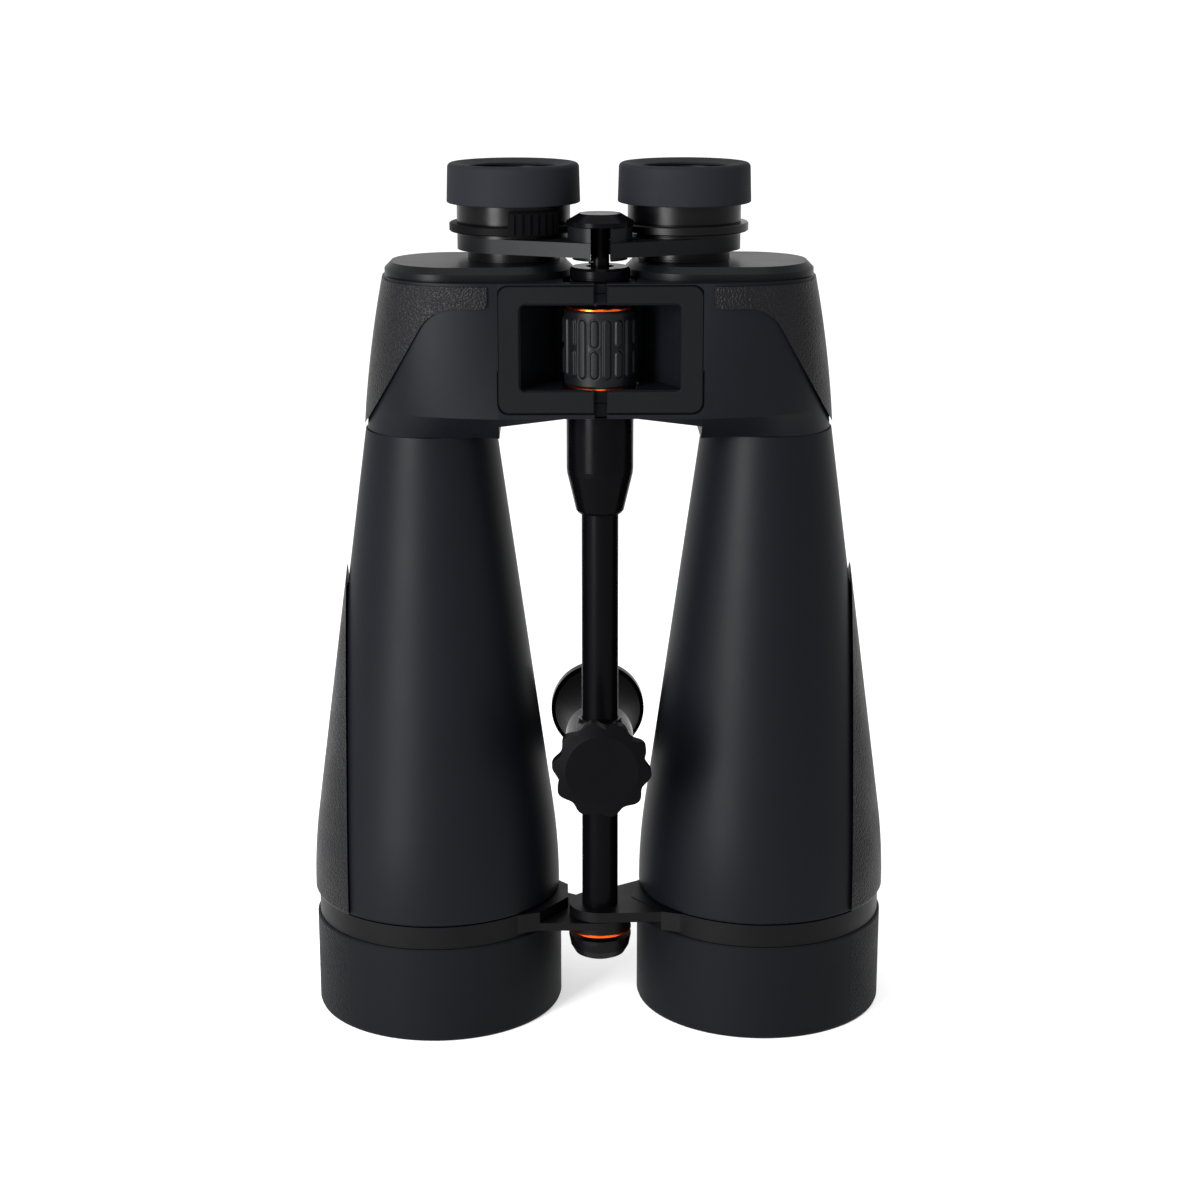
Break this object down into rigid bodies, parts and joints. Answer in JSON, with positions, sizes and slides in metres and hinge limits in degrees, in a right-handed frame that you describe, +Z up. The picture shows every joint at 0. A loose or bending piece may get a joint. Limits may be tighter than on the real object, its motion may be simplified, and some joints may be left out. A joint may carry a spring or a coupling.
{
  "type": "astronomy binoculars",
  "caption": "Large Porro-prism astronomy binoculars standing on their hoods, with centre focus, diopter, twist-up eyecups and a tripod adapter on a centre rod.",
  "frame": {"origin": "centre of the footprint, on the surface that the hoods stand on", "axes": "+Z up the barrels towards the eyepieces, +X towards the user's left barrel, -Y the side that is up in use"},
  "size_m": [0.2242, 0.1102, 0.329],
  "materials": {
    "soft_touch": "cast and spun aluminium with a black soft-touch coat",
    "cover_coat": "die-cast aluminium, satin black coat",
    "plate_coat": "moulded plate, satin black",
    "pebble_rubber": "moulded rubber with a fine pebble grain",
    "hood_rubber": "aluminium hood in a matt black rubber coat, pebbled on its outer side",
    "cup_rubber": "matt black soft rubber",
    "wheel_rubber": "matt black rubber with moulded ribs",
    "cup_plastic": "black moulded plastic",
    "knob_plastic": "black moulded plastic, fine grain",
    "barrel_metal": "turned aluminium, black anodised",
    "arm_metal": "die-cast aluminium, satin black",
    "band_metal": "die-cast aluminium, black coat",
    "rod_metal": "drawn aluminium bar, black anodised",
    "polished_black": "turned aluminium, bright black anodised",
    "inner_metal": "aluminium, flat black inside",
    "steel": "plain steel",
    "orange_ring": "orange anodised aluminium",
    "lens_glass": "optical glass with a green antireflection coat",
    "prism_glass": "optical glass prism"
  },
  "bodies": {
    "left_half": {"left_prism_housing": "soft_touch", "left_top_cover": "cover_coat", "left_shoulder_armour": "pebble_rubber", "left_hinge_plate": "plate_coat", "left_prism_shelf": "inner_metal", "left_upper_prism": "prism_glass", "left_lower_prism": "prism_glass", "left_objective_tube": "soft_touch", "left_tube_pad": "pebble_rubber", "left_hood": "hood_rubber", "left_clamp_band": "band_metal", "left_objective_cell": "inner_metal", "left_objective_doublet": "lens_glass", "left_lens_retainer": "inner_metal", "centre_rod": "rod_metal", "hinge_axle": "polished_black", "rod_collar": "polished_black", "end_nut": "band_metal", "end_nut_ring": "orange_ring"},
    "right_half": {"right_prism_housing": "soft_touch", "right_top_cover": "cover_coat", "right_shoulder_armour": "pebble_rubber", "right_hinge_plate": "plate_coat", "right_prism_shelf": "inner_metal", "right_upper_prism": "prism_glass", "right_lower_prism": "prism_glass", "right_objective_tube": "soft_touch", "right_tube_pad": "pebble_rubber", "right_hood": "hood_rubber", "right_clamp_band": "band_metal", "right_objective_cell": "inner_metal", "right_objective_doublet": "lens_glass", "right_lens_retainer": "inner_metal"},
    "focus_wheel": {"focus_wheel_core": "inner_metal", "focus_wheel_tyre": "wheel_rubber", "focus_wheel_rings": "orange_ring"},
    "left_bridge": {"left_bridge_arm": "arm_metal", "left_eyepiece_barrel": "barrel_metal", "left_ocular_cell": "inner_metal", "left_ocular_lenses": "lens_glass", "left_trim_ring": "barrel_metal", "focus_spindle": "polished_black", "stem_screw": "steel", "hub_stem": "polished_black", "hub_cap": "polished_black"},
    "right_bridge": {"right_bridge_arm": "arm_metal", "right_eyepiece_barrel": "barrel_metal"},
    "right_ocular": {"right_ocular_cell": "inner_metal", "right_ocular_lenses": "lens_glass"},
    "diopter_ring": {"right_diopter_ring": "knob_plastic"},
    "left_cup_cam": {"left_cup_guide_ring": "barrel_metal"},
    "left_cup": {"left_cup_sleeve": "cup_plastic", "left_eyecup": "cup_rubber"},
    "right_cup_cam": {"right_cup_guide_ring": "barrel_metal"},
    "right_cup": {"right_cup_sleeve": "cup_plastic", "right_eyecup": "cup_rubber"},
    "adapter_carriage": {"adapter_bush": "cup_plastic"},
    "adapter": {"adapter_block": "polished_black"},
    "clamp_screw": {"clamp_screw": "steel"},
    "clamp_knob": {"clamp_knob": "knob_plastic"}
  },
  "joints": [
    {"name": "interpupillary", "type": "hinge", "parent": "left_half", "child": "right_half", "pos_m": [0, -0.0144, 0], "axis": [0, 0, 1], "range_deg": [-12, 15]},
    {"name": "focus_turn", "type": "hinge", "parent": "left_half", "child": "focus_wheel", "pos_m": [0, -0.0144, 0.2655], "axis": [0, 0, 1], "range_deg": [-86, 459]},
    {"name": "focus_travel", "type": "slide", "parent": "left_half", "child": "left_bridge", "axis": [0, 0, 1], "range_m": [-0.0015, 0.008]},
    {"name": "bridge_swing", "type": "hinge", "parent": "left_bridge", "child": "right_bridge", "pos_m": [0, -0.0144, 0.303], "axis": [0, 0, 1], "range_deg": [-12.2, 15.2]},
    {"name": "diopter_turn", "type": "hinge", "parent": "right_bridge", "child": "diopter_ring", "pos_m": [-0.0316, 0.0076, 0.306], "axis": [0, 0, 1], "range_deg": [-35, 35]},
    {"name": "diopter_travel", "type": "slide", "parent": "right_bridge", "child": "right_ocular", "axis": [0, 0, 1], "range_m": [-0.00146, 0.00146]},
    {"name": "left_cup_turn", "type": "hinge", "parent": "left_bridge", "child": "left_cup_cam", "pos_m": [0.0316, 0.0076, 0.315], "axis": [0, 0, 1], "range_deg": [0, 90]},
    {"name": "left_cup_rise", "type": "slide", "parent": "left_cup_cam", "child": "left_cup", "axis": [0, 0, 1], "range_m": [0, 0.0065]},
    {"name": "right_cup_turn", "type": "hinge", "parent": "right_bridge", "child": "right_cup_cam", "pos_m": [-0.0316, 0.0076, 0.315], "axis": [0, 0, 1], "range_deg": [0, 90]},
    {"name": "right_cup_rise", "type": "slide", "parent": "right_cup_cam", "child": "right_cup", "axis": [0, 0, 1], "range_m": [0, 0.0065]},
    {"name": "adapter_slide", "type": "slide", "parent": "left_half", "child": "adapter_carriage", "axis": [0, 0, 1], "range_m": [-0.02, 0.07]},
    {"name": "adapter_swing", "type": "hinge", "parent": "adapter_carriage", "child": "adapter", "pos_m": [0, -0.0144, 0.11], "axis": [0, 0, 1], "range_deg": [-10, 10]},
    {"name": "clamp_travel", "type": "slide", "parent": "adapter", "child": "clamp_screw", "axis": [0, -1, 0], "range_m": [0, 0.001]},
    {"name": "clamp_turn", "type": "hinge", "parent": "clamp_screw", "child": "clamp_knob", "pos_m": [0, -0.0144, 0.1136], "axis": [0, -1, 0], "range_deg": [0, 360]}
  ],
  "couplings": [
    {"joint": "focus_turn", "follows": "focus_travel", "rad_per_m": 1000},
    {"joint": "bridge_swing", "follows": "interpupillary", "ratio": 1},
    {"joint": "diopter_turn", "follows": "diopter_travel", "rad_per_m": 416.67},
    {"joint": "left_cup_rise", "follows": "left_cup_turn", "m_per_rad": 0.0041},
    {"joint": "right_cup_rise", "follows": "right_cup_turn", "m_per_rad": 0.0041},
    {"joint": "clamp_travel", "follows": "clamp_turn", "m_per_rad": 0.000159}
  ]
}
